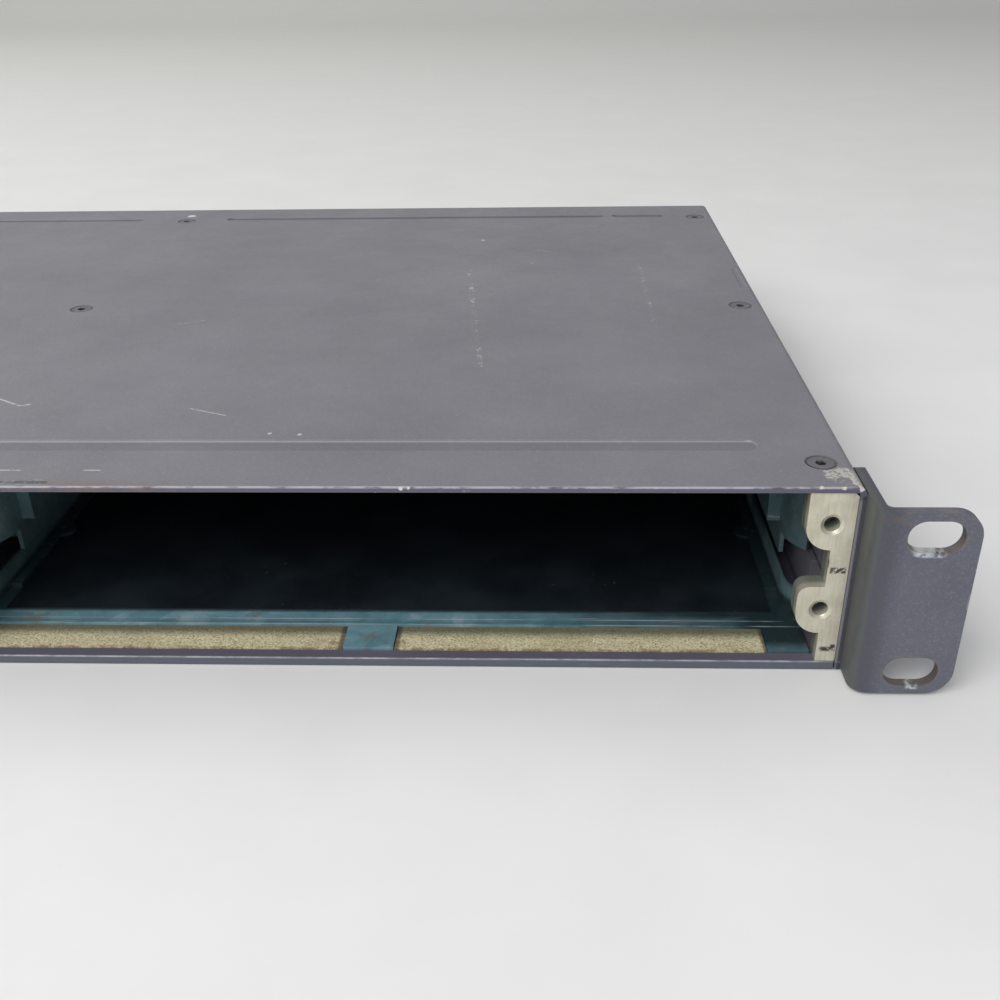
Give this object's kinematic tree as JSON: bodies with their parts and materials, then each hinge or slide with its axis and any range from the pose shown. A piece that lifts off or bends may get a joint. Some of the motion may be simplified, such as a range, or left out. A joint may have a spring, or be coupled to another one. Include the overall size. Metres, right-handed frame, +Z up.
{
  "type": "firewall appliance",
  "caption": "Rack-mount network security appliance in a folded steel case with an open bay for a plug-in module, rack ears, ports, buttons, fans and a mains supply.",
  "frame": {"origin": "centre of the bounding box's bottom face", "axes": "+X to the right along the front, +Y from the front to the back, +Z up"},
  "size_m": [0.4826, 0.2566, 0.0442],
  "materials": {
    "chassis_paint": "satin textured purple-grey powder paint, worn to bare metal at edges",
    "ear_paint": "satin purple-grey powder paint, worn around the slots",
    "galvanised_steel": "bluish galvanised sheet with faint spangle and scuffs",
    "gasket_tan": "speckled tan conductive foam strip",
    "black_film": "thin matt black film with dust",
    "bracket_nickel": "warm nickel plate, scratched, with dark marks",
    "screw_dark": "black oxide with worn rims",
    "screw_bright": "zinc-plated",
    "standoff_brass": "plain turned",
    "earth_brass": "plain turned",
    "port_shell": "nickel-plated shell",
    "board_green": "solder resist",
    "board_tan": "phenolic board",
    "chip_lid": "nickel-plated lid",
    "heatsink_aluminium": "extruded, plain",
    "socket_black": "moulded",
    "capacitor_can": "cans with dark sleeves",
    "battery_steel": "coin cell",
    "light_pipe_clear": "clear moulding",
    "button_grey": "moulded, satin",
    "connector_plastic": "cream moulding",
    "ribbon_grey": "ribbed flat cable",
    "fan_black": "moulded",
    "fan_rotor_black": "moulded",
    "psu_parts": "transformer, cans and heat spreaders",
    "inlet_black": "moulded",
    "rocker_black": "moulded"
  },
  "bodies": {
    "chassis": {"backplane_board": "board_green", "backplane_connectors": "connector_plastic", "backplane_feet": "galvanised_steel", "backplane_ribbon": "ribbon_grey", "backup_battery": "battery_steel", "base_pan": "chassis_paint", "bay_bracket_left": "bracket_nickel", "bay_bracket_right": "bracket_nickel", "bay_divider": "galvanised_steel", "bay_floor": "galvanised_steel", "board_capacitors": "capacitor_can", "board_insulator": "black_film", "board_screws": "screw_bright", "board_standoffs": "standoff_brass", "bracket_screws": "screw_dark", "button_switches": "socket_black", "console_jacks": "port_shell", "cover_screws": "screw_dark", "ear_nut_plate": "screw_bright", "ear_screws": "screw_dark", "earth_nut": "earth_brass", "earth_stud": "earth_brass", "ethernet_block": "port_shell", "fan_1_frame": "fan_black", "fan_2_frame": "fan_black", "fan_screws": "screw_bright", "floor_film": "black_film", "floor_gaskets": "gasket_tan", "front_panel": "chassis_paint", "heatsink": "heatsink_aluminium", "light_pipes": "light_pipe_clear", "lower_guide_left": "galvanised_steel", "lower_guide_right": "galvanised_steel", "main_board": "board_green", "mains_inlet": "inlet_black", "mains_switch_frame": "inlet_black", "memory_modules": "board_green", "memory_sockets": "socket_black", "processor": "chip_lid", "psu_board": "board_tan", "psu_case": "galvanised_steel", "psu_components": "psu_parts", "psu_fan_frame": "fan_black", "psu_lid": "galvanised_steel", "rack_ear_left": "ear_paint", "rack_ear_right": "ear_paint", "rear_panel": "chassis_paint", "ribbon_plugs": "connector_plastic", "sfp_cages": "port_shell", "storage_module": "board_green", "upper_guide_left": "galvanised_steel", "upper_guide_right": "galvanised_steel", "usb_sockets": "port_shell", "wrap_cover": "chassis_paint"},
    "fan_1": {"fan_1_rotor": "fan_rotor_black"},
    "fan_2": {"fan_2_rotor": "fan_rotor_black"},
    "psu_fan": {"psu_fan_rotor": "fan_rotor_black"},
    "power_button": {"power_button": "button_grey"},
    "reset_button": {"reset_button": "button_grey"},
    "rocker": {"mains_rocker": "rocker_black"}
  },
  "joints": [
    {"name": "fan_1_spin", "type": "hinge", "parent": "chassis", "child": "fan_1", "pos_m": [-0.102, 0.1051, 0.0216], "axis": [0, 1, 0], "continuous": true},
    {"name": "fan_2_spin", "type": "hinge", "parent": "chassis", "child": "fan_2", "pos_m": [-0.054, 0.1051, 0.0216], "axis": [0, 1, 0], "continuous": true},
    {"name": "psu_fan_spin", "type": "hinge", "parent": "chassis", "child": "psu_fan", "pos_m": [-0.19, -0.0167, 0.0214], "axis": [0, 1, 0], "continuous": true},
    {"name": "power_button_press", "type": "slide", "parent": "chassis", "child": "power_button", "axis": [0, 1, 0], "range_m": [0, 0.001], "stiffness_N_per_m": 300, "springref_m": -0.0005},
    {"name": "reset_button_press", "type": "slide", "parent": "chassis", "child": "reset_button", "axis": [0, 1, 0], "range_m": [0, 0.0008], "stiffness_N_per_m": 300, "springref_m": -0.0005},
    {"name": "mains_rocker_tilt", "type": "hinge", "parent": "chassis", "child": "rocker", "pos_m": [-0.166, 0.1181, 0.0215], "axis": [-1, 0, 0], "range_deg": [0, 20]}
  ]
}
